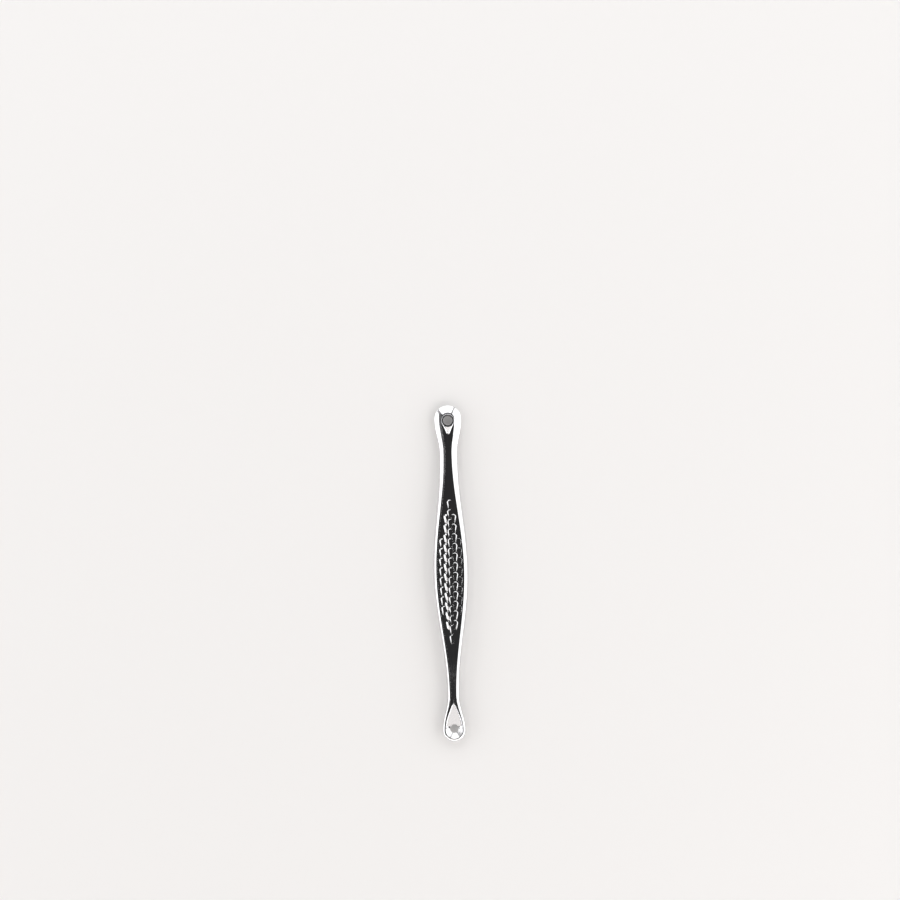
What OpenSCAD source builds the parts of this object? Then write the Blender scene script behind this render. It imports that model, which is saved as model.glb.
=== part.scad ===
// Double-ended blackhead extractor: one chrome-plated steel forging, with a cupped and bored
// head at each end and a fish-scale grip between them.
// It lies on its back. X runs across it, Y along it with the upper head towards +Y, and Z up.
// The forging is split across, face to face, into the regions that a person would name.

/* [Overall] */
// Length from tip to tip
tool_length = 90; // [80:1:110]

/* [Upper head, whose bowl faces backwards] */
// Width across the upper head
upper_head_w = 7; // [6.4:0.1:8]
// Thickness of the upper head at its rim
upper_head_t = 1.9; // [1.7:0.1:2.4]
// Bevel across the upper head's edge, on the back of its bowl
upper_head_edge = 1.65; // [1.2:0.05:1.7]
// Length of the upper head, from its tip to its neck
upper_head_length = 11; // [10:0.5:12]
// Diameter of the bore through the upper head
upper_bore_d = 2.4; // [1.8:0.1:2.8]
// Upper tip to the middle of its bore
upper_bore_inset = 4; // [3.6:0.1:4.4]
// Upper tip to the point of its teardrop bowl
upper_bowl_reach = 9.6; // [8.5:0.1:9.8]

/* [Upper neck] */
// Width of the upper neck at its waist
upper_waist_w = 4.9; // [4:0.1:5.8]
// Thickness of the upper neck at its waist
upper_waist_t = 2.5; // [2:0.1:3]
// Bevel across the edge of the upper neck
upper_waist_edge = 1.4; // [1:0.05:1.7]
// Upper tip to the waist of its neck
upper_waist_at = 12.8; // [12.5:0.1:15]

/* [Grip] */
// Width of the grip at its widest place
grip_w = 9.4; // [8:0.1:12]
// Thickness of the grip
grip_t = 3.2; // [2.8:0.1:4]
// Bevel across the edge of the grip
grip_edge = 1.1; // [0.8:0.05:1.6]
// Middle of the tool to the widest place of the grip, positive towards the upper head
grip_offset = 0.5; // [-4:0.5:4]
// Plain stretch of the grip beyond the field of scales, at each end
grip_margin = 1.5; // [1:0.5:4]

/* [Fish-scale relief] */
// Length of the field of scales
field_length = 38.7; // [24:0.1:39]
// Middle of the tool to the middle of the field, positive towards the upper head
field_offset = -0.5; // [-2:0.1:2]
// Width of the field of scales at its middle
field_w = 6.6; // [3.6:0.1:7]
// Distance between scales along a column
scale_pitch = 2.58; // [2.4:0.02:3.4]
// Distance between neighbouring columns
column_pitch = 1.2; // [1.1:0.01:1.5]
// Width of one scale
scale_w = 1.4; // [1.2:0.02:1.5]
// Length of one scale
scale_length = 2.3; // [2:0.05:2.5]
// Height of a scale's raised end
scale_rise = 0.14; // [0.1:0.01:0.3]
// Width of the slope round a scale, from its foot to its crown
scale_shoulder = 0.4; // [0.2:0.05:0.5]
// Share of a scale's width and height that it keeps at its tail
scale_taper = 0.6; // [0.4:0.05:0.8]

/* [Lower neck] */
// Width of the lower neck at its waist
lower_waist_w = 3.2; // [2.8:0.1:4.6]
// Thickness of the lower neck at its waist
lower_waist_t = 2.4; // [2:0.1:3]
// Bevel across the edge of the lower neck
lower_waist_edge = 0.9; // [0.7:0.05:1.2]
// Lower tip to the waist of its neck
lower_waist_at = 12.4; // [12:0.1:14.5]

/* [Lower head, whose bowl faces forwards] */
// Width across the lower head
lower_head_w = 6.2; // [5.6:0.1:7]
// Thickness of the lower head at its rim
lower_head_t = 1.9; // [1.7:0.1:2.4]
// Bevel across the lower head's edge, on the back of its bowl
lower_head_edge = 1.25; // [0.8:0.05:1.4]
// Length of the lower head, from its tip to its neck
lower_head_length = 11.5; // [10.5:0.5:12]
// Diameter of the bore through the lower head
lower_bore_d = 2.3; // [1.6:0.1:2.6]
// Lower tip to the middle of its bore
lower_bore_inset = 3.5; // [3.2:0.1:3.8]
// Lower tip to the point of its teardrop bowl
lower_bowl_reach = 10.1; // [9:0.1:10.3]

/* [Bowls] */
// Depth of a bowl below its rim
bowl_depth = 0.8; // [0.5:0.05:1]
// Bevel across the outer edge of a bowl's rim
rim_edge = 0.7; // [0.5:0.05:0.9]
// Width of a rim's flat, between that bevel and the bowl
rim_flat = 0.2; // [0.1:0.05:0.4]

/* [Bosses round the bores, on the backs of the bowls] */
// Diameter of a boss
boss_d = 3.6; // [3.4:0.1:4]
// Height of a boss
boss_h = 0.25; // [0.1:0.05:0.35]
// Width of the bevel round a boss
boss_bevel = 0.4; // [0.2:0.05:0.45]
// Middle of a bore to the end of its boss's tail
boss_tail = 3; // [2.8:0.1:4]
// Width of a boss at its tail
boss_tail_w = 1.6; // [0.6:0.1:2]
// Lead-in round a bore at the face of its boss
bore_lead = 0.15; // [0.05:0.05:0.2]

/* [Hidden] */
$fn = 48;

// Steps of the sections: round an edge, and along each stretch
edge_steps = 5;
bowl_steps = 14;
bowl_end_steps = 2;
neck_steps = 12;
grip_steps = 44;

// Angle at which a bevel leaves the flat, and the largest share of the half thickness that
// it takes away
bevel_angle = 23;
bevel_share = 0.75;
// Shares of a bowl's half width at which its floor has points, from the rim inwards
BOWL_SHARES = [1, 0.92, 0.76, 0.5, 0.25];
// How flat a bowl's floor is against its wall, on its ramp and round its bore: 1 is a cone,
// 2 a plain dish, and more is flatter
ramp_flatness = 8;
dish_flatness = 1.5;
// Share of the ramp at which it begins to hollow out towards the bore
ramp_end = 0.7;
// Share of a scale's height that is upright, at its foot
foot_share = 0.15;
// How blunt a teardrop's point is: 1 is a plain sine, less is blunter
teardrop_bluntness = 0.85;
// Half width of a bowl at its point
bowl_point = 0.12;
// How far a boss or a scale is rooted in the metal under it
root = 0.1;

middle_z = grip_t / 2;
upper_tip = tool_length / 2;
lower_tip = -tool_length / 2;
upper_cut = upper_tip - upper_head_length;
lower_cut = lower_tip + lower_head_length;
upper_grip_cut = field_offset + field_length / 2 + grip_margin;
lower_grip_cut = field_offset - field_length / 2 - grip_margin;

// Places along the tool that its section changes between, with the ends of the grip: the
// middle of each head's round, and the waists
upper_round = upper_tip - upper_head_w / 2;
upper_waist = upper_tip - upper_waist_at;
lower_waist = lower_tip + lower_waist_at;
lower_round = lower_tip + lower_head_w / 2;

// What the section follows, as [place, value] from the upper head downwards
HALF_WIDTHS = [
    [upper_round, upper_head_w / 2],
    [upper_waist, upper_waist_w / 2],
    [grip_offset, grip_w / 2],
    [lower_waist, lower_waist_w / 2],
    [lower_round, lower_head_w / 2]
];
HALF_THICKNESSES = [
    [upper_round, upper_head_t / 2],
    [upper_waist, upper_waist_t / 2],
    [upper_grip_cut, grip_t / 2],
    [lower_grip_cut, grip_t / 2],
    [lower_waist, lower_waist_t / 2],
    [lower_round, lower_head_t / 2]
];
FRONT_EDGES = [
    [upper_round, upper_head_edge],
    [upper_waist, upper_waist_edge],
    [grip_offset, grip_edge],
    [lower_waist, lower_waist_edge],
    [lower_round, rim_edge]
];
BACK_EDGES = [
    [upper_round, rim_edge],
    [upper_waist, upper_waist_edge],
    [grip_offset, grip_edge],
    [lower_waist, lower_waist_edge],
    [lower_round, lower_head_edge]
];

// A smooth change from one value to the next, level at both
function ease(from, to, share) = from + (to - from) * (1 - cos(180 * share)) / 2;

// The value at y of one of the lists above
function along(list, y, i = 0) =
    y >= list[i][0] || i == len(list) - 1 ? list[i][1] :
    y < list[i + 1][0] ? along(list, y, i + 1) :
    ease(list[i][1], list[i + 1][1], (list[i][0] - y) / (list[i][0] - list[i + 1][0]));

function half_width(y) = along(HALF_WIDTHS, y);
function half_thickness(y) = along(HALF_THICKNESSES, y);

function mirrored(points) = [for (i = [len(points) - 1:-1:0]) [-points[i][0], points[i][1]]];

// Edge from its outermost line, which is round, up the bevel to the crease where the flat
// begins, as [x, z] from the middle plane
function edge_curve(half_w, half_t, edge) = [
    for (i = [0:edge_steps])
        let (
            a = 90 * i / edge_steps,
            out = sqrt(cos(a)),
            drop = min(tan(bevel_angle) * edge, bevel_share * half_t)
        )
        [half_w - edge + edge * out, (half_t - drop * out) * sin(a)]
];

// One side of a section, from +X to -X
function plain_side(half_w, half_t, edge) =
    let (rim = edge_curve(half_w, half_t, edge))
    concat(rim, mirrored(rim));

// The same with a bowl of a half width, a depth and a flatness sunk into it
function bowl_side(half_w, half_t, edge, bowl_half_w, depth, flatness) =
    let (
        rim = edge_curve(half_w, half_t, edge),
        floor_half = [
            for (share = BOWL_SHARES)
                [bowl_half_w * share, half_t - depth * (1 - pow(share, flatness))]
        ]
    )
    concat(rim, floor_half, [[0, half_t - depth]], mirrored(floor_half), mirrored(rim));

// A closed ring of points at y, from one side for the top and one for the bottom
function ring(y, top, bottom) = concat(
    [for (p = top) [p[0], y, p[1]]],
    [for (i = [len(bottom) - 2:-1:1]) [bottom[i][0], y, -bottom[i][1]]]
);

// Solid through rings of equal length, in order of falling y. Its ends are filled in strips
// between the points of the top and those of the bottom.
module loft(rings) {
    count = len(rings[0]);
    last = (len(rings) - 1) * count;
    middle = count / 2;
    function under(j) = j == 0 || j == middle ? j : count - j;
    function quad(a, b, c, d) = [[a, b, c], [a, c, d]];
    function end_face(first) = [
        for (j = [0:middle - 1])
            for (f = quad(j, under(j), under(j + 1), j + 1))
                if (f[0] != f[1] && f[1] != f[2])
                    [first + f[0], first + f[1], first + f[2]]
    ];
    sides = [
        for (i = [0:count:last - count])
            for (j = [0:count - 1])
                let (k = (j + 1) % count)
                each quad(i + j, i + count + j, i + count + k, i + k)
    ];
    polyhedron(
        points = [for (r = rings) each r],
        faces = concat([for (f = end_face(0)) [f[2], f[1], f[0]]], sides, end_face(last))
    );
}

// Stretch of the tool without a bowl, between two places
module plain_stretch(from, to, steps) {
    loft([
        for (i = [0:steps])
            let (y = from + (to - from) * i / steps)
            ring(
                y,
                plain_side(half_width(y), half_thickness(y), along(FRONT_EDGES, y)),
                plain_side(half_width(y), half_thickness(y), along(BACK_EDGES, y))
            )
    ]);
}

// Round end of a head, about the middle of its round: half a turn of its section
module head_round(head_w, head_t, back_edge, bowl_half_w) {
    bowl = bowl_side(
        head_w / 2, head_t / 2, rim_edge, bowl_half_w, bowl_depth, dish_flatness
    );
    back = edge_curve(head_w / 2, head_t / 2, back_edge);
    rotate_extrude(angle = 180)
        polygon(concat(
            [[0, -head_t / 2]],
            [for (i = [len(back) - 1:-1:1]) [back[i][0], -back[i][1]]],
            [for (p = bowl) if (p[0] >= 0) p]
        ));
}

// Head from its round to its neck, with the teardrop end of its bowl: a ramp from the bowl's
// point down to the bore's near edge at bore_y. The bowl lies in the side of the tool that
// edges gives, and way is 1 in the upper half and -1 in the lower.
module head_body(way, edges, back_edges, round_y, bore_y, point_y, cut_y, bowl_half_w) {
    places = concat(
        [for (i = [0:bowl_steps]) round_y + (point_y - round_y) * i / bowl_steps],
        [for (i = [1:bowl_end_steps]) point_y + (cut_y - point_y) * i / bowl_end_steps]
    );
    loft([
        for (y = places)
            let (
                half_w = half_width(way * y),
                half_t = half_thickness(way * y),
                edge = along(edges, way * y),
                back_edge = along(back_edges, way * y),
                share = max(0, (y - point_y) / (round_y - point_y)),
                teardrop = bowl_half_w * sin(90 * pow(share, teardrop_bluntness)),
                bowl_w = max(bowl_point, min(teardrop, half_w - edge - rim_flat)),
                back_w = max(bowl_point, min(teardrop, half_w - back_edge - rim_flat)),
                ramp = min(1, max(0, (y - point_y) / (bore_y - point_y))),
                hollow = max(0, (ramp - ramp_end) / (1 - ramp_end))
            )
            ring(
                y,
                bowl_side(
                    half_w, half_t, edge, bowl_w, bowl_depth * ramp,
                    ease(ramp_flatness, dish_flatness, hollow)
                ),
                bowl_side(half_w, half_t, back_edge, back_w, 0, 1)
            )
    ]);
}

// Low boss that stands down from z = 0, with its tail towards -Y
module boss() {
    hull() {
        translate([0, 0, -boss_h]) cylinder(d1 = boss_d - 2 * boss_bevel, d2 = boss_d, h = boss_h);
        cylinder(d = boss_d, h = root);
        translate([0, boss_tail_w / 2 - boss_tail, 0]) cylinder(d = boss_tail_w, h = root);
    }
}

// Bore along Z through a head and its boss, with the lead-in at the boss's face
module bore(bore_d, head_t) {
    face_z = -head_t / 2 - boss_h;
    translate([0, 0, face_z - root]) cylinder(d = bore_d, h = 2 * head_t);
    translate([0, 0, face_z]) cylinder(d1 = bore_d + 2 * bore_lead, d2 = bore_d, h = bore_lead);
    translate([0, 0, face_z - root]) cylinder(d = bore_d + 2 * bore_lead, h = root);
}

// One head with its tip towards +Y and its bowl upwards
module head(way, edges, back_edges, head_w, head_t, back_edge, length, bowl_reach, bore_d, inset) {
    tip = tool_length / 2;
    round_y = tip - head_w / 2;
    bore_y = tip - inset - bore_d / 2;
    bowl_half_w = head_w / 2 - rim_edge - rim_flat;
    difference() {
        union() {
            translate([0, round_y, 0]) head_round(head_w, head_t, back_edge, bowl_half_w);
            head_body(
                way, edges, back_edges, round_y, bore_y, tip - bowl_reach, tip - length, bowl_half_w
            );
            translate([0, tip - inset, -head_t / 2]) boss();
        }
        translate([0, tip - inset, 0]) bore(bore_d, head_t);
    }
}

module upper_head() {
    color("silver")
        translate([0, 0, middle_z])
            mirror([0, 0, 1])
                head(
                    1, BACK_EDGES, FRONT_EDGES, upper_head_w, upper_head_t, upper_head_edge,
                    upper_head_length, upper_bowl_reach, upper_bore_d, upper_bore_inset
                );
}

module lower_head() {
    color("silver")
        translate([0, 0, middle_z])
            rotate([0, 0, 180])
                head(
                    -1, FRONT_EDGES, BACK_EDGES, lower_head_w, lower_head_t, lower_head_edge,
                    lower_head_length, lower_bowl_reach, lower_bore_d, lower_bore_inset
                );
}

module upper_neck() {
    color("silver")
        translate([0, 0, middle_z])
            plain_stretch(upper_cut, upper_grip_cut, neck_steps);
}

module lower_neck() {
    color("silver")
        translate([0, 0, middle_z])
            plain_stretch(lower_grip_cut, lower_cut, neck_steps);
}

// Round end of a scale that stands up by rise, with a foot of a width
module pad(width, rise) {
    translate([0, 0, -root]) cylinder(d = width, h = root + rise * foot_share);
    cylinder(d = width * (1 - 2 * scale_shoulder / scale_w), h = rise);
}

// One scale: a round end that stands up, and a narrower and lower tail
module fish_scale() {
    tail_w = scale_w * scale_taper;
    hull($fn = 16) {
        translate([0, scale_length / 2 - scale_w / 2, 0]) pad(scale_w, scale_rise);
        translate([0, tail_w / 2 - scale_length / 2, 0]) pad(tail_w, scale_rise * scale_taper);
    }
}

// Places of the scales: columns that start from the widest place of the grip and swell with
// it, every other one half a pitch along, in a field that narrows to a point at both ends
function scale_places() =
    let (
        columns = floor(field_w / 2 / column_pitch),
        rows = ceil(field_length / scale_pitch)
    )
    [
        for (column = [-columns:columns])
            for (row = [-rows:rows])
                let (
                    y = grip_offset + (row + (column % 2 == 0 ? 0 : 0.5)) * scale_pitch,
                    from_middle = (y - field_offset) / (field_length / 2),
                    field_half_w = field_w / 2 * (1 - pow(from_middle, 2))
                )
                if (abs(column) * column_pitch <= field_half_w)
                    [column * column_pitch * half_width(y) / half_width(grip_offset), y]
    ];

module grip_handle() {
    color("silver")
        translate([0, 0, middle_z]) {
            plain_stretch(upper_grip_cut, lower_grip_cut, grip_steps);
            for (p = scale_places())
                translate([p[0], p[1], half_thickness(p[1])]) fish_scale();
        }
}

upper_head();
upper_neck();
grip_handle();
lower_neck();
lower_head();
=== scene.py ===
"""The looks of a double-ended blackhead extractor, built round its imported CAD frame.

The tool is one forging, so every node is drawn from the same two surfaces, front and back,
which are heights over the plan of the tool. The tool's sizes are in millimetres until a mesh is
made, and the studio's are in metres. Heads are drawn with v for y: the distance from the middle
of the tool towards the head's own tip.
"""

import math
from collections import namedtuple

import bpy
import numpy as np
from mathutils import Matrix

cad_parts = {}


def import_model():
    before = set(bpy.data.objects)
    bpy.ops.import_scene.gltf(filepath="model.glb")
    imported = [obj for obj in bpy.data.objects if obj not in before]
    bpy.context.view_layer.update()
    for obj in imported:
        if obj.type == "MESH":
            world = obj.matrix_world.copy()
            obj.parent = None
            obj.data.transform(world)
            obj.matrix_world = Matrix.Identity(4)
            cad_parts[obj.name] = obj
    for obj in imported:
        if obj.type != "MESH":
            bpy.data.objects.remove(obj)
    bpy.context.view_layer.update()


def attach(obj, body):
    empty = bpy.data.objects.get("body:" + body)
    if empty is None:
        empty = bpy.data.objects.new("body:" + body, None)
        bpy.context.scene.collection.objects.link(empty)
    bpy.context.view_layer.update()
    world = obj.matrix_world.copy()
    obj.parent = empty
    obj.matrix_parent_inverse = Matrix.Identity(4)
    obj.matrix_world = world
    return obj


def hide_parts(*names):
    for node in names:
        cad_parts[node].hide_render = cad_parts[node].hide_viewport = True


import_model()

MM = 0.001

# Plan and thickness of the tool, as in its CAD source
TOOL_LENGTH = 90
UPPER_WAIST_W = 4.9
UPPER_WAIST_T = 2.5
UPPER_WAIST_AT = 12.8
GRIP_W = 9.4
GRIP_T = 3.2
GRIP_OFFSET = 0.5
GRIP_MARGIN = 1.5
FIELD_LENGTH = 38.7
FIELD_OFFSET = -0.5
LOWER_WAIST_W = 3.2
LOWER_WAIST_T = 2.4
LOWER_WAIST_AT = 12.4

MIDDLE_Z = GRIP_T / 2
UPPER_GRIP_CUT = FIELD_OFFSET + FIELD_LENGTH / 2 + GRIP_MARGIN
LOWER_GRIP_CUT = FIELD_OFFSET - FIELD_LENGTH / 2 - GRIP_MARGIN

# Largest share of the half thickness that the bevel along the outline takes away
BEVEL_SHARE = 0.85
# Power of the curve by which the bevel turns upright at the outline
OUTLINE_POWER = 4
# Half width of the crease between a bevel and its flat, as a share of the bevel's width
CREASE = 0.008
# How much wider the bevel is at the upper tip
UPPER_CAP = 0.55
# Rounding of the bores' edges
BORE_ROUND = 0.05

# Rim and floor of the bowls
RIM_EDGE = 0.6
RIM_FLAT = 0.2
BOWL_DEPTH = 0.8
BOWL_POINT = 0.12
RAMP_FLATNESS = 30
FUNNEL_STEEPNESS = 1.5
# How far above the bore's middle the ramp turns into a funnel, and over what length
FUNNEL_LEAD = 0.6
FUNNEL_BLEND = 0.8
# Share of a bowl's half width over which its own finish begins
FINISH_BLEND = 0.06

# Boss round each bore, on the other face than the bowl
BOSS_D = 3.4
BOSS_H = 0.25
BOSS_SLOPE = math.tan(math.radians(70))
BOSS_TAIL = 2.5
BOSS_TAIL_W = 0.8

# A head's way is the sign of its y. The upper bowl is on the back and the lower one on the
# front, so the side that a boss is on has the sign of its head's way.
Head = namedtuple("Head", "way width thickness length bore_d bore_inset bowl_reach")
UPPER = Head(
    way=1, width=7.0, thickness=1.9, length=11, bore_d=2.4, bore_inset=4, bowl_reach=9.6
)
LOWER = Head(
    way=-1, width=6.2, thickness=1.9, length=11.5, bore_d=2.3, bore_inset=3.5, bowl_reach=10.1
)


def round_at(head):
    """Distance from the middle of the tool to the middle of a head's round end."""
    return TOOL_LENGTH / 2 - head.width / 2


def bore_at(head):
    return TOOL_LENGTH / 2 - head.bore_inset


def bowl_point_at(head):
    return TOOL_LENGTH / 2 - head.bowl_reach


def cut_at(head):
    return TOOL_LENGTH / 2 - head.length


UPPER_WAIST = TOOL_LENGTH / 2 - UPPER_WAIST_AT
LOWER_WAIST = LOWER_WAIST_AT - TOOL_LENGTH / 2
UPPER_ROUND = round_at(UPPER)
LOWER_ROUND = -round_at(LOWER)

# What the section follows, as (place, value) from the upper head downwards
HALF_WIDTHS = [
    (UPPER_ROUND, UPPER.width / 2),
    (UPPER_WAIST, UPPER_WAIST_W / 2),
    (GRIP_OFFSET, GRIP_W / 2),
    (LOWER_WAIST, LOWER_WAIST_W / 2),
    (LOWER_ROUND, LOWER.width / 2),
]
HALF_THICKNESSES = [
    (UPPER_ROUND, UPPER.thickness / 2),
    (UPPER_WAIST, UPPER_WAIST_T / 2),
    (UPPER_GRIP_CUT, GRIP_T / 2),
    (LOWER_GRIP_CUT, GRIP_T / 2),
    (LOWER_WAIST, LOWER_WAIST_T / 2),
    (LOWER_ROUND, LOWER.thickness / 2),
]
# Angles in degrees between the bevel and its flat
BEVEL_ANGLES = [
    (UPPER_ROUND, 25),
    (UPPER_WAIST, 24.3),
    (GRIP_OFFSET, 21),
    (LOWER_WAIST, 20.5),
    (LOWER_ROUND, 23),
]
# Widths of the bevel on the front and on the back
FRONT_EDGES = [
    (UPPER_ROUND, 1.75),
    (UPPER_WAIST, 1.6),
    (GRIP_OFFSET, 1.15),
    (LOWER_WAIST, 0.85),
    (LOWER_ROUND, RIM_EDGE),
]
BACK_EDGES = [
    (UPPER_ROUND, RIM_EDGE),
    (UPPER_WAIST, 1.6),
    (GRIP_OFFSET, 1.15),
    (LOWER_WAIST, 0.85),
    (LOWER_ROUND, 1.25),
]

# Fish scales on the front of the grip
FIELD_W = 6.6
SCALE_PITCH = 2.58
COLUMN_PITCH = 1.2
SCALE_W = 1.4
SCALE_LENGTH = 2.5
SCALE_TAIL_W = 0.84
# By column, from the left: how high a scale is set, and the slope of its sides in degrees
SCALE_RISES = {-2: 0.16, -1: 0.29, 0: 0.13, 1: 0.16, 2: 0.05}
SCALE_SLOPES = {-2: 17, -1: 16, 0: 17, 1: 26, 2: 26}
# How far a scale leans towards its lower side, and how long its tail fades
SCALE_LEAN = 0.9
SCALE_FADE = 1.1

# Fineness of the meshes: the length of a row, and the steps across a flat and a bevel
NECK_ROW = 0.2
NECK_STEPS = 24
GRIP_ROW = 0.078
GRIP_STEPS = 100
BACK_STEPS = 12
EDGE_STEPS = 15
# Points round a head, and the steps from its crease in to its bore and through it
BORDER_POINTS = 320
PATH_POINTS = 400
FEWEST_CUT_STEPS = 8
FLAT_STEPS = 4
BOWL_STEPS = 44
FILLET_POINTS = 8
WALL_STEPS = 4
# The crease's largest share of a ray, and the bowl's or boss's largest share of the crease's
CREASE_LIMIT = 0.97
MIDDLE_LIMIT = 0.985
# Least step between neighbours on a ray, as a share of the ray
SMALLEST_STEP = 1e-5
# How many times a stretch is halved to find where a ray crosses a border
HALVINGS = 40

# Distance over which slopes are measured
SLOPE_STEP = 4e-4
# What counts as being on the outline, and as being off the boss
ON_OUTLINE = 1e-6
OFF_BOSS = 1e-4


def smooth(share):
    """A soft step from 0 to 1."""
    share = np.clip(share, 0, 1)
    return share * share * (3 - 2 * share)


def unit(vectors):
    return vectors / np.linalg.norm(vectors, axis=-1, keepdims=True)


def along(stations, y):
    """The value at y of a list of stations, level at each of them."""
    value = np.full_like(y, stations[0][1])
    for (top, at_top), (bottom, at_bottom) in zip(stations, stations[1:]):
        share = np.clip((top - y) / (top - bottom), 0, 1)
        eased = at_top + (at_bottom - at_top) * (1 - np.cos(np.pi * share)) / 2
        value = np.where(y < top, eased, value)
    return value


def outline_inset(x, y):
    """Distance from the outline of the tool inwards, in its plan."""
    plain = along(HALF_WIDTHS, y) - abs(x)
    upper = UPPER.width / 2 - np.hypot(x, y - UPPER_ROUND)
    lower = LOWER.width / 2 - np.hypot(x, y - LOWER_ROUND)
    return np.where(y > UPPER_ROUND, upper, np.where(y < LOWER_ROUND, lower, plain))


def edge_width(side, y):
    """Width of the bevel along the outline, on the front or the back."""
    width = along(FRONT_EDGES if side > 0 else BACK_EDGES, y)
    if side > 0:
        width = width + UPPER_CAP * np.clip((y - UPPER_ROUND) / (UPPER.width / 2), 0, 1) ** 2
    return width


def bevelled(side, x, y):
    """Height over the middle plane of the flat and the bevel round it."""
    width = edge_width(side, y)
    thickness = along(HALF_THICKNESSES, y)
    out = 1 - np.clip(outline_inset(x, y) / width, 0, 1)
    slope = np.tan(np.radians(along(BEVEL_ANGLES, y)))
    drop = np.minimum(slope * width, BEVEL_SHARE * thickness)
    return (thickness - drop * out) * np.sqrt(1 - out ** OUTLINE_POWER)


def capsule_inset(x, y, radius, tail_radius, tail):
    """Distance inwards from a tapered capsule with its tail towards -Y."""
    lean = (radius - tail_radius) / tail
    upright = math.sqrt(1 - lean * lean)
    side, down = abs(x), -y
    reach = down * upright - side * lean
    at_head = radius - np.hypot(side, down)
    at_tail = tail_radius - np.hypot(side, down - tail)
    at_side = radius - side * upright - down * lean
    return np.where(reach < 0, at_head, np.where(reach > upright * tail, at_tail, at_side))


def bowl_half_width(head, v):
    """Half width of a head's teardrop bowl at v."""
    full = head.width / 2 - RIM_EDGE - RIM_FLAT
    point = bowl_point_at(head)
    share = np.clip((v - point) / (round_at(head) - point), 0, 1)
    teardrop = full * np.sin(np.pi / 2 * share)
    y = head.way * v
    room = along(HALF_WIDTHS, y) - edge_width(-head.way, y) - RIM_FLAT
    return np.maximum(BOWL_POINT, np.minimum(teardrop, room))


def bowl_across(head, x, v):
    """How far across a bowl a point is: 0 in the middle, 1 on its border."""
    radius = np.where(v > round_at(head), np.hypot(x, v - round_at(head)), abs(x))
    return radius / bowl_half_width(head, v)


def bowl(head, x, v):
    """Depth of a head's bowl: a ramp from its point down to a funnel round the bore."""
    point = bowl_point_at(head)
    share = np.clip((v - point) / (bore_at(head) - point), 0, 1)
    across = np.clip(bowl_across(head, x, v), 0, 1)
    ramp = 1 - across ** RAMP_FLATNESS
    funnel = np.clip((1 - across) * FUNNEL_STEEPNESS, 0, 1)
    hollow = np.clip((v - bore_at(head) + FUNNEL_LEAD) / FUNNEL_BLEND, 0, 1)
    return BOWL_DEPTH * share * (ramp + (funnel - ramp) * hollow)


def boss(head, x, v):
    """Height of the boss round a head's bore: a disc with a tail that slopes away as a cone."""
    y = v - bore_at(head)
    inset = capsule_inset(x, y, BOSS_D / 2, BOSS_TAIL_W / 2, BOSS_TAIL)
    reach = BOSS_TAIL + BOSS_TAIL_W / 2
    cone = BOSS_H * (reach - np.hypot(x, y)) / (reach - BOSS_D / 2)
    return np.clip(np.minimum(cone, inset * BOSS_SLOPE), 0, BOSS_H)


def bore_rounding(head, x, v):
    """How far a head's face falls away at the rounded edge of its bore."""
    radius = np.hypot(x, v - bore_at(head))
    short = np.clip(head.bore_d / 2 + BORE_ROUND - radius, 0, BORE_ROUND)
    return BORE_ROUND - np.sqrt(BORE_ROUND ** 2 - short ** 2)


def half_width(y):
    """Half width of the tool at a single place."""
    return float(along(HALF_WIDTHS, np.array([y]))[0])


def scale_places():
    """Column and place of each fish scale: every other column lies half a pitch along."""
    columns = int(FIELD_W / 2 / COLUMN_PITCH)
    rows = math.ceil(FIELD_LENGTH / SCALE_PITCH)
    places = []
    for column in range(-columns, columns + 1):
        stagger = 0 if column % 2 == 0 else 0.5
        for row in range(-rows, rows + 1):
            y = GRIP_OFFSET + (row + stagger) * SCALE_PITCH
            from_middle = (y - FIELD_OFFSET) / (FIELD_LENGTH / 2)
            field_half_w = FIELD_W / 2 * (1 - from_middle ** 2)
            if abs(column) * COLUMN_PITCH <= field_half_w:
                swell = half_width(y) / half_width(GRIP_OFFSET)
                places.append((column, column * COLUMN_PITCH * swell, y))
    return places


SCALES = scale_places()


def scale_relief(x, y):
    """Height of the fish scales over the flat of the grip. A scale is a plate that is highest
    along its outer side and round its head, and that fades out at its tail."""
    height = np.zeros_like(x)
    head_y = SCALE_LENGTH / 2 - SCALE_W / 2
    tail = SCALE_LENGTH - SCALE_W / 2 - SCALE_TAIL_W / 2
    for column, at_x, at_y in SCALES:
        near = (abs(y - at_y) < SCALE_LENGTH) & (abs(x - at_x) < SCALE_W)
        if not near.any():
            continue
        right, up = x[near] - at_x, y[near] - at_y
        inset = capsule_inset(right, up - head_y, SCALE_W / 2, SCALE_TAIL_W / 2, tail)
        high_side = 1 if column > 0 else -1
        lean = (1 + SCALE_LEAN * high_side * right / (SCALE_W / 2)) / 2
        fade = np.clip((up + SCALE_LENGTH / 2) / SCALE_FADE, 0, 1)
        plate = SCALE_RISES[column] * lean * fade
        scale = np.minimum(plate, inset * math.tan(math.radians(SCALE_SLOPES[column])))
        height[near] = np.maximum(height[near], scale)
    return height


def face_height(side, x, y):
    """Distance from the middle plane out to the tool's front (side 1) or back (side -1)."""
    height = bevelled(side, x, y)
    if side > 0:
        on_grip = (y < UPPER_GRIP_CUT) & (y > LOWER_GRIP_CUT)
        height[on_grip] += scale_relief(x[on_grip], y[on_grip])
    for head in (UPPER, LOWER):
        on_head = head.way * y > cut_at(head)
        place = head, x[on_head], head.way * y[on_head]
        if side == head.way:
            height[on_head] += boss(*place)
        else:
            height[on_head] -= bowl(*place)
        height[on_head] -= bore_rounding(*place)
    return height


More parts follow.
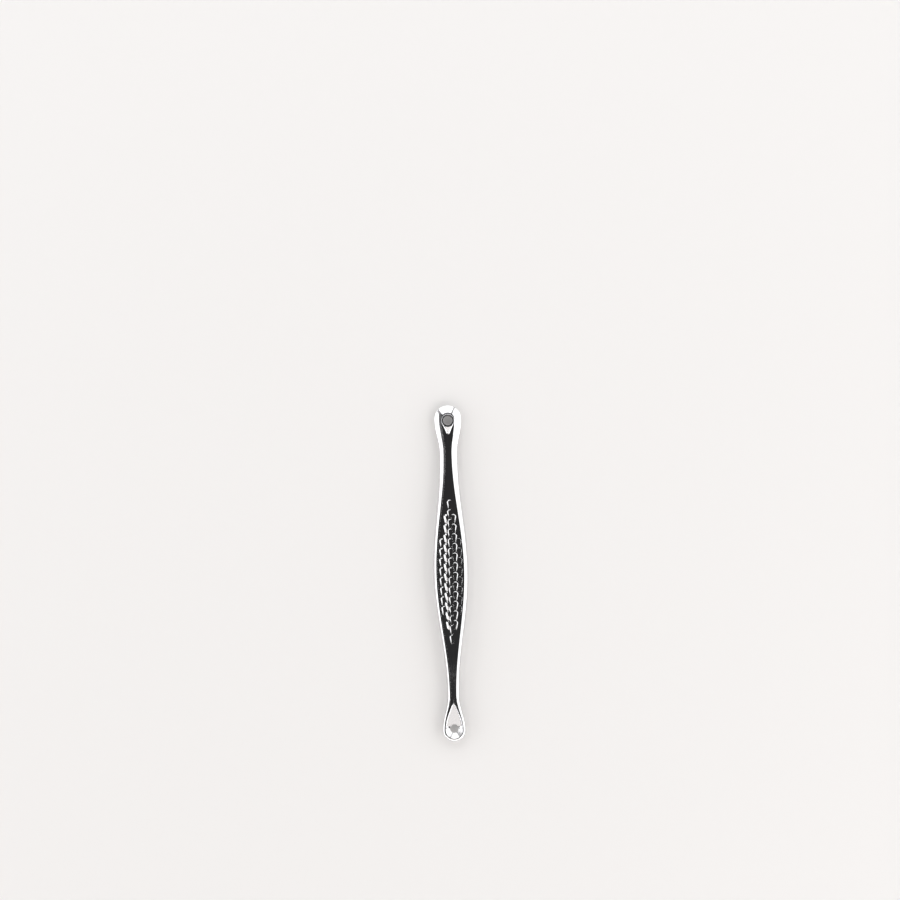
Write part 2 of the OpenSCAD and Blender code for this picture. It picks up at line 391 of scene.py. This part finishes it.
def surface(side, x, y):
    """Points and normals of the front or the back at places in the plan."""
    step = SLOPE_STEP
    slope_x = (face_height(side, x + step, y) - face_height(side, x - step, y)) / (2 * step)
    slope_y = (face_height(side, x, y + step) - face_height(side, x, y - step)) / (2 * step)
    points = np.stack([x, y, MIDDLE_Z + side * face_height(side, x, y)], axis=-1)
    normals = unit(np.stack([-slope_x, -slope_y, np.ones_like(x)], axis=-1))
    normals[..., 2] *= side
    # On the outline the surface is upright
    on_outline = outline_inset(x, y) < ON_OUTLINE
    outward_x = outline_inset(x - step, y) - outline_inset(x + step, y)
    outward_y = outline_inset(x, y - step) - outline_inset(x, y + step)
    outward = np.stack([outward_x, outward_y, np.zeros_like(x)], axis=-1)
    normals[on_outline] = unit(outward[on_outline])
    return points, normals


def make_piece(name, points, normals, faces, end_faces, attribute, values):
    """A closed mesh whose shading follows given normals, but for its flat end faces. Its
    attribute gives the material a value at each point."""
    mesh = bpy.data.meshes.new(name)
    mesh.from_pydata((points * MM).tolist(), [], [list(f) for f in faces + end_faces])
    mesh.polygons.foreach_set("use_smooth", [True] * len(mesh.polygons))
    layer = mesh.attributes.new(attribute, "FLOAT", "POINT")
    layer.data.foreach_set("value", np.asarray(values, dtype=np.float32))
    corners = np.empty(len(mesh.loops), dtype=np.int64)
    mesh.loops.foreach_get("vertex_index", corners)
    corner_normals = normals[corners]
    for polygon in list(mesh.polygons)[len(faces):]:
        for corner in polygon.loop_indices:
            corner_normals[corner] = polygon.normal
    mesh.normals_split_custom_set(corner_normals.tolist())
    mesh.update()
    piece = bpy.data.objects.new(name, mesh)
    bpy.context.scene.collection.objects.link(piece)
    return piece


def edge_shares():
    """Shares of a bevel's width, from the outline inwards to both sides of the crease."""
    turns = np.linspace(0, np.pi / 2, EDGE_STEPS, endpoint=False)
    return np.concatenate([1 - np.sqrt(np.cos(turns)), [1 - CREASE, 1 + CREASE]])


def row_places(side, y, flat_steps):
    """Places across the tool at y, from +X to -X: close together on the bevels."""
    outline_x = along(HALF_WIDTHS, y)[:, None]
    bevel = outline_x - edge_width(side, y)[:, None] * edge_shares()[None, :]
    flat = bevel[:, -1:] * np.linspace(1, -1, flat_steps + 1)[None, 1:-1]
    return np.concatenate([bevel, flat, -bevel[:, ::-1]], axis=1)


def tube_faces(rows, count):
    """Faces of a tube with count points round it, and those of its two ends."""
    faces = []
    for row in range(rows):
        here, there = row * count, (row + 1) * count
        for j in range(count):
            k = (j + 1) % count
            faces.append((here + j, here + k, there + k, there + j))
    first = tuple(range(count - 1, -1, -1))
    last = tuple(rows * count + j for j in range(count))
    return faces, [first, last]


def stretch(name, top, bottom, row_step, flat_steps, has_scales=False):
    """One node without a bowl, as a tube of rows between two cuts."""
    rows = math.ceil((top - bottom) / row_step)
    y = np.linspace(top, bottom, rows + 1)
    front_x = row_places(1, y, flat_steps)
    back_x = row_places(-1, y, BACK_STEPS)[:, 1:-1][:, ::-1]
    front_y = np.repeat(y[:, None], front_x.shape[1], axis=1)
    back_y = np.repeat(y[:, None], back_x.shape[1], axis=1)
    front_points, front_normals = surface(1, front_x, front_y)
    back_points, back_normals = surface(-1, back_x, back_y)
    points = np.concatenate([front_points, back_points], axis=1)
    normals = np.concatenate([front_normals, back_normals], axis=1)
    faces, end_faces = tube_faces(rows, points.shape[1])
    relief = np.zeros(points.shape[:2])
    if has_scales:
        heights = scale_relief(front_x, front_y)
        relief[:, :front_x.shape[1]] = heights / max(SCALE_RISES.values())
    return make_piece(
        name, points.reshape(-1, 3), normals.reshape(-1, 3), faces, end_faces,
        "relief", relief.ravel(),
    )


def head_border(head):
    """Points evenly round a head's plan, from the corner of its cut round the tip and back
    across the cut, and how many of them lie on the outline."""
    y_cut, y_round, radius = cut_at(head), round_at(head), head.width / 2
    up = np.linspace(y_cut, y_round, PATH_POINTS)
    right = np.stack([along(HALF_WIDTHS, head.way * up), up], axis=-1)
    turn = np.linspace(0, np.pi, PATH_POINTS)[1:-1]
    tip = np.stack([radius * np.cos(turn), y_round + radius * np.sin(turn)], axis=-1)
    left = right[::-1] * [-1, 1]
    path = np.concatenate([right, tip, left])
    length = np.concatenate([[0], np.cumsum(np.linalg.norm(np.diff(path, axis=0), axis=1))])

    cut_half_w = right[0][0]
    cut_points = BORDER_POINTS * 2 * cut_half_w / (length[-1] + 2 * cut_half_w)
    cut_steps = max(FEWEST_CUT_STEPS, round(cut_points))
    at = np.linspace(0, length[-1], BORDER_POINTS - cut_steps + 1)
    outline = np.stack([np.interp(at, length, path[:, axis]) for axis in (0, 1)], axis=-1)
    across = np.linspace(-cut_half_w, cut_half_w, cut_steps + 1)[1:-1]
    cut = np.stack([across, np.full_like(across, y_cut)], axis=-1)
    return np.concatenate([outline, cut]), len(outline)


def crossing(test, start, end):
    """Share of the way from start to end at which a test turns from false to true."""
    low, high = np.zeros(len(start)), np.ones(len(start))
    for _ in range(HALVINGS):
        share = (low + high) / 2
        place = start + (end - start) * share[:, None]
        outside = test(place[:, 0], place[:, 1])
        high = np.where(outside, share, high)
        low = np.where(outside, low, share)
    return (low + high) / 2


def past_inset(head, side, edge_share):
    """Test for places nearer to the outline than a share of the bevel's width."""

    def test(x, v):
        y = head.way * v
        return outline_inset(x, y) < edge_share * edge_width(side, y)

    return test


def past_middle(head, side):
    """Test for places outside the boss or the bowl, whichever is on that side of a head."""

    def past_boss(x, v):
        return boss(head, x, v) < OFF_BOSS

    def past_bowl(x, v):
        return (bowl_across(head, x, v) > 1) | (v < bowl_point_at(head))

    return past_boss if side == head.way else past_bowl


def head_side(head, side, border, outline_count):
    """Places of one side of a head, along rays from its border in to its bore."""
    centre = np.array([0, bore_at(head)])
    start = centre + unit(border - centre) * head.bore_d / 2
    is_cut = np.arange(len(border)) >= outline_count
    fillet = BORE_ROUND / np.linalg.norm(border - start, axis=1)
    crease = crossing(past_inset(head, side, 1 + CREASE), start, border)
    crease = np.minimum(crease, CREASE_LIMIT)
    middle = crossing(past_middle(head, side), start, border)
    middle = np.minimum(middle, crease * MIDDLE_LIMIT)

    shares = [np.ones(len(border))]
    for step, edge_share in enumerate(edge_shares()[1:-1], start=1):
        even = 1 - (1 - crease) * step / (EDGE_STEPS + 1)
        on_bevel = crossing(past_inset(head, side, edge_share), start, border)
        shares.append(np.maximum(np.where(is_cut, even, on_bevel), crease))
    for step in range(FLAT_STEPS):
        shares.append(crease + (middle - crease) * step / FLAT_STEPS)
    for step in range(BOWL_STEPS):
        shares.append(middle + (fillet - middle) * step / BOWL_STEPS)
    for angle in np.linspace(np.pi / 2, 0, FILLET_POINTS):
        shares.append(fillet * (1 - math.cos(angle)))
    shares = np.stack(shares, axis=1)
    # Neighbours on a ray never fall together
    for j in range(1, shares.shape[1]):
        shares[:, j] = np.minimum(shares[:, j], shares[:, j - 1] - SMALLEST_STEP)
    shares = np.maximum(shares, 0)
    return start[:, None, :] + (border - start)[:, None, :] * shares[:, :, None]


def head_faces(count, rays, outline_count):
    """Faces of a head's two sides and of its bore's wall, and those of its flat cut. A head has
    count rays on its front, as many on its back and the wall between their inner ends."""
    back_start = count * rays
    wall_start = 2 * back_start

    def on_front(k, j):
        return (k % count) * rays + j

    def on_back(k, j):
        k %= count
        # The two sides share the points of the outline
        if j == 0 and k < outline_count:
            return on_front(k, 0)
        return back_start + k * rays + j

    def on_wall(k, step):
        k %= count
        if step == 0:
            return on_front(k, rays - 1)
        if step == WALL_STEPS:
            return on_back(k, rays - 1)
        return wall_start + k * (WALL_STEPS - 1) + step - 1

    def patch(at, k, j):
        return at(k, j), at(k + 1, j), at(k + 1, j + 1), at(k, j + 1)

    faces = []
    for k in range(count):
        for j in range(rays - 1):
            faces.append(patch(on_front, k, j))
            # The back is seen from the other side
            first, second, third, fourth = patch(on_back, k, j)
            faces.append((first, fourth, third, second))
        for step in range(WALL_STEPS):
            faces.append(patch(on_wall, k, step))
    end_faces = []
    for k in range(outline_count - 1, count):
        # At a corner of the cut, two of the four points are one
        corners = on_front(k, 0), on_back(k, 0), on_back(k + 1, 0), on_front(k + 1, 0)
        end_faces.append(tuple(dict.fromkeys(corners)))
    return faces, end_faces


def without_unused(points, normals, faces, end_faces, values):
    """Drops the points that no face uses."""
    used = np.zeros(len(points), dtype=bool)
    for face in faces + end_faces:
        used[list(face)] = True
    new_index = np.cumsum(used) - 1
    faces = [tuple(int(new_index[i]) for i in f) for f in faces]
    end_faces = [tuple(int(new_index[i]) for i in f) for f in end_faces]
    return points[used], normals[used], faces, end_faces, values[used]


def head_piece(name, head):
    """A head as two faces of rays between its border and its bore, with the bore's wall."""
    border, outline_count = head_border(head)
    count = len(border)
    points, normals, in_bowl = [], [], []
    for side in (1, -1):
        places = head_side(head, side, border, outline_count)
        x, v = places[..., 0], places[..., 1]
        side_points, side_normals = surface(side, x, head.way * v)
        points.append(side_points)
        normals.append(side_normals)
        if side == head.way:
            in_bowl.append(np.zeros_like(x))
        else:
            in_bowl.append(smooth((1 - bowl_across(head, x, v)) / FINISH_BLEND))

    # The bore's wall is upright where the rounded edges meet it
    top, bottom = points[0][:, -1], points[1][:, -1]
    to_middle = [-top[:, 0], head.way * bore_at(head) - top[:, 1], np.zeros(count)]
    inward = unit(np.stack(to_middle, axis=-1))
    normals[0][:, -1] = inward
    normals[1][:, -1] = inward
    rings = range(1, WALL_STEPS)
    points.append(np.stack([top + (bottom - top) * i / WALL_STEPS for i in rings], axis=1))
    normals.append(np.repeat(inward[:, None], len(rings), axis=1))
    in_bowl.append(np.zeros((count, len(rings))))

    faces, end_faces = head_faces(count, points[0].shape[1], outline_count)
    if head.way < 0:
        # The plan was turned over, so its faces are too
        faces = [f[::-1] for f in faces]
        end_faces = [f[::-1] for f in end_faces]
    points, normals, faces, end_faces, in_bowl = without_unused(
        np.concatenate([p.reshape(-1, 3) for p in points]),
        np.concatenate([n.reshape(-1, 3) for n in normals]),
        faces,
        end_faces,
        np.concatenate([b.ravel() for b in in_bowl]),
    )
    return make_piece(name, points, normals, faces, end_faces, "bowl", in_bowl)


# Roughness of the bowls and of the highest scales
BOWL_ROUGHNESS = 0.22
SCALE_ROUGHNESS = 0.08

# Noises of the chrome, in steps per metre, and the heights of their bumps in metres. The
# polishing lines run along the tool.
LINE_STEPS = (22000, 700, 22000)
LINE_BUMP = 2e-7
WAVE_STEPS = 420
WAVE_BUMP = 1.5e-6
SMEAR_STEPS = 900
# Two values of the smears' noise, and the roughness at each
SMEAR_ROUGHNESS = (0.35, 0.75, 0.05, 0.11)
DARK_CHROME = (0.76, 0.76, 0.775, 1)
LIGHT_CHROME = (0.80, 0.80, 0.805, 1)

FLOOR_HALF = 3
FLOOR_COLOUR = (0.78, 0.77, 0.76, 1)
FLOOR_ROUGHNESS = 0.9

# A pale horizon under a dark ceiling: two heights in the sky, and the brightness at each
SKY = (0.4, 0.66, 0.85, 0.03)
SKY_COLOUR = (1, 0.98, 1, 1)


class Nodes:
    """Short calls for making the nodes of a material or a world."""

    def __init__(self, owner):
        self.tree = owner.node_tree

    def add(self, kind, **values):
        node = self.tree.nodes.new(kind)
        for key, value in values.items():
            if key in node.inputs:
                node.inputs[key].default_value = value
            else:
                setattr(node, key, value)
        return node

    def link(self, source, target):
        self.tree.links.new(source, target)

    def ramp(self, source, stops):
        """The stops are two values of the source, and what each of them turns into."""
        node = self.add("ShaderNodeMapRange")
        for key, stop in zip(("From Min", "From Max", "To Min", "To Max"), stops):
            node.inputs[key].default_value = stop
        self.link(source, node.inputs["Value"])
        return node.outputs["Result"]

    def noise(self, place, scale, detail, roughness):
        node = self.add("ShaderNodeTexNoise", Scale=scale, Detail=detail, Roughness=roughness)
        self.link(place, node.inputs["Vector"])
        return node.outputs["Fac"]

    def bump(self, height, distance):
        node = self.add("ShaderNodeBump", Strength=1, Distance=distance)
        self.link(height, node.inputs["Height"])
        return node


def new_material(name):
    material = bpy.data.materials.new(name)
    material.use_nodes = True
    return material, material.node_tree.nodes["Principled BSDF"]


def chrome(name, mask=None, mask_roughness=None):
    """Polished chrome: a clear mirror with polishing lines, shallow waves and faint smears. It
    can have another roughness where an attribute of the mesh, its mask, is 1."""
    material, shader = new_material(name)
    nodes = Nodes(material)
    shader.inputs["Metallic"].default_value = 1
    place = nodes.add("ShaderNodeTexCoord").outputs["Object"]
    stretched = nodes.add("ShaderNodeMapping", Scale=LINE_STEPS)
    nodes.link(place, stretched.inputs["Vector"])
    lines = nodes.noise(stretched.outputs["Vector"], scale=1, detail=3, roughness=0.6)
    waves = nodes.noise(place, scale=WAVE_STEPS, detail=1, roughness=0.4)
    smears = nodes.noise(place, scale=SMEAR_STEPS, detail=4, roughness=0.65)

    roughness = nodes.ramp(smears, SMEAR_ROUGHNESS)
    if mask:
        layer = nodes.add("ShaderNodeAttribute", attribute_name=mask)
        blend = nodes.add("ShaderNodeMix", data_type="FLOAT")
        nodes.link(layer.outputs["Fac"], blend.inputs["Factor"])
        nodes.link(roughness, blend.inputs["A"])
        blend.inputs["B"].default_value = mask_roughness
        roughness = blend.outputs["Result"]
    nodes.link(roughness, shader.inputs["Roughness"])

    tone = nodes.add("ShaderNodeMix", data_type="RGBA")
    tone.inputs["A"].default_value = DARK_CHROME
    tone.inputs["B"].default_value = LIGHT_CHROME
    nodes.link(smears, tone.inputs["Factor"])
    nodes.link(tone.outputs["Result"], shader.inputs["Base Color"])

    wave_bump = nodes.bump(waves, WAVE_BUMP)
    line_bump = nodes.bump(lines, LINE_BUMP)
    nodes.link(wave_bump.outputs["Normal"], line_bump.inputs["Normal"])
    nodes.link(line_bump.outputs["Normal"], shader.inputs["Normal"])
    return material


def dress(piece, node, material):
    piece.data.materials.append(material)
    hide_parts(node)
    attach(piece, "root")


def tool():
    """The five nodes of the tool, each with its material."""
    head_chrome = chrome("polished_chrome_head", "bowl", BOWL_ROUGHNESS)
    plain_chrome = chrome("polished_chrome")
    grip_chrome = chrome("polished_chrome_grip", "relief", SCALE_ROUGHNESS)

    upper_head = head_piece("upper_head_forging", UPPER)
    dress(upper_head, "upper_head", head_chrome)
    lower_head = head_piece("lower_head_forging", LOWER)
    dress(lower_head, "lower_head", head_chrome)
    upper_neck = stretch(
        "upper_neck_forging", cut_at(UPPER), UPPER_GRIP_CUT, NECK_ROW, NECK_STEPS
    )
    dress(upper_neck, "upper_neck", plain_chrome)
    lower_neck = stretch(
        "lower_neck_forging", LOWER_GRIP_CUT, -cut_at(LOWER), NECK_ROW, NECK_STEPS
    )
    dress(lower_neck, "lower_neck", plain_chrome)
    grip = stretch(
        "grip_handle_forging", UPPER_GRIP_CUT, LOWER_GRIP_CUT, GRIP_ROW, GRIP_STEPS,
        has_scales=True,
    )
    dress(grip, "grip_handle", grip_chrome)


def floor():
    """A large sheet of matt paper that the tool lies on."""
    mesh = bpy.data.meshes.new("floor")
    corners = [(-1, -1), (1, -1), (1, 1), (-1, 1)]
    points = [(x * FLOOR_HALF, y * FLOOR_HALF, 0) for x, y in corners]
    mesh.from_pydata(points, [], [(0, 1, 2, 3)])
    plane = bpy.data.objects.new("floor", mesh)
    bpy.context.scene.collection.objects.link(plane)
    material, shader = new_material("floor_paper")
    shader.inputs["Base Color"].default_value = FLOOR_COLOUR
    shader.inputs["Roughness"].default_value = FLOOR_ROUGHNESS
    mesh.materials.append(material)


# An azimuth runs from +X towards +Y, and from_zenith is the angle from straight up, both in
# degrees. A softbox can be moved sideways in its own plane.
Softbox = namedtuple(
    "Softbox",
    "azimuth from_zenith distance size radiance colour sideways",
    defaults=[(1, 1, 1), 0],
)
SOFTBOXES = {
    "left_softbox": Softbox(
        azimuth=180, from_zenith=70.5, distance=0.6, size=(1.04, 0.38), radiance=1.5
    ),
    "scale_softbox": Softbox(
        azimuth=180, from_zenith=34, distance=0.7, size=(0.54, 0.17), radiance=1.5
    ),
    "right_softbox": Softbox(
        azimuth=0, from_zenith=63, distance=0.6, size=(1.36, 0.56), radiance=1.5
    ),
    "upper_softbox": Softbox(
        azimuth=97.5, from_zenith=52, distance=0.6, size=(0.62, 0.51), radiance=1.5
    ),
    "lower_softbox": Softbox(
        azimuth=-90, from_zenith=22.5, distance=0.8, size=(0.76, 0.26), radiance=1.15,
        colour=(1, 0.96, 0.94), sideways=0.26,
    ),
    "low_softbox": Softbox(
        azimuth=-90, from_zenith=58, distance=0.8, size=(1.3, 0.64), radiance=1.3,
        colour=(1, 0.96, 0.92),
    ),
}


def softbox(name, box):
    """A soft lamp that faces the middle of the tool, but for its move sideways."""
    lamp = bpy.data.lights.new(name, "AREA")
    lamp.shape = "RECTANGLE"
    lamp.size, lamp.size_y = box.size
    lamp.energy = box.radiance * math.pi * box.size[0] * box.size[1]
    lamp.color = box.colour
    azimuth, from_zenith = math.radians(box.azimuth), math.radians(box.from_zenith)
    x = box.distance * math.sin(from_zenith) * math.cos(azimuth)
    y = box.distance * math.sin(from_zenith) * math.sin(azimuth)
    z = box.distance * math.cos(from_zenith)
    holder = bpy.data.objects.new(name, lamp)
    holder.location = (x, y, z)
    holder.rotation_euler = (math.atan2(math.hypot(x, y), z), 0, math.atan2(x, -y))
    turn = holder.rotation_euler.z
    holder.location.x += box.sideways * math.cos(turn)
    holder.location.y += box.sideways * math.sin(turn)
    holder.visible_camera = False
    bpy.context.scene.collection.objects.link(holder)


def world():
    """A sky whose brightness depends on its height alone."""
    sky = bpy.data.worlds.new("studio")
    bpy.context.scene.world = sky
    sky.use_nodes = True
    nodes = Nodes(sky)
    background = sky.node_tree.nodes["Background"]
    place = nodes.add("ShaderNodeTexCoord")
    split = nodes.add("ShaderNodeSeparateXYZ")
    nodes.link(place.outputs["Generated"], split.inputs["Vector"])
    brightness = nodes.ramp(split.outputs["Z"], SKY)
    nodes.link(brightness, background.inputs["Strength"])
    background.inputs["Color"].default_value = SKY_COLOUR


# The photograph's frame: so many pixels wide at a scale in millimetres per pixel, centred off
# the tool, which leans a little
FRAME_PIXELS = 900
PIXEL = 0.2682
FRAME_CENTRE = (0.435, 33.1)
LEAN = 1.22
CAMERA_DISTANCE = 1.2
SENSOR_WIDTH = 36


def camera():
    """A camera straight over the tool that shows the photograph's frame."""
    lens = bpy.data.cameras.new("camera")
    lens.sensor_width = SENSOR_WIDTH
    lens.lens = SENSOR_WIDTH * CAMERA_DISTANCE / (FRAME_PIXELS * PIXEL * MM)
    holder = bpy.data.objects.new("camera", lens)
    holder.location = (FRAME_CENTRE[0] * MM, FRAME_CENTRE[1] * MM, CAMERA_DISTANCE)
    holder.rotation_euler = (0, 0, math.radians(-LEAN))
    bpy.context.scene.collection.objects.link(holder)
    bpy.context.scene.camera = holder


tool()
floor()
for box_name, box in SOFTBOXES.items():
    softbox(box_name, box)
world()
camera()
bpy.context.scene.view_settings.view_transform = "Standard"
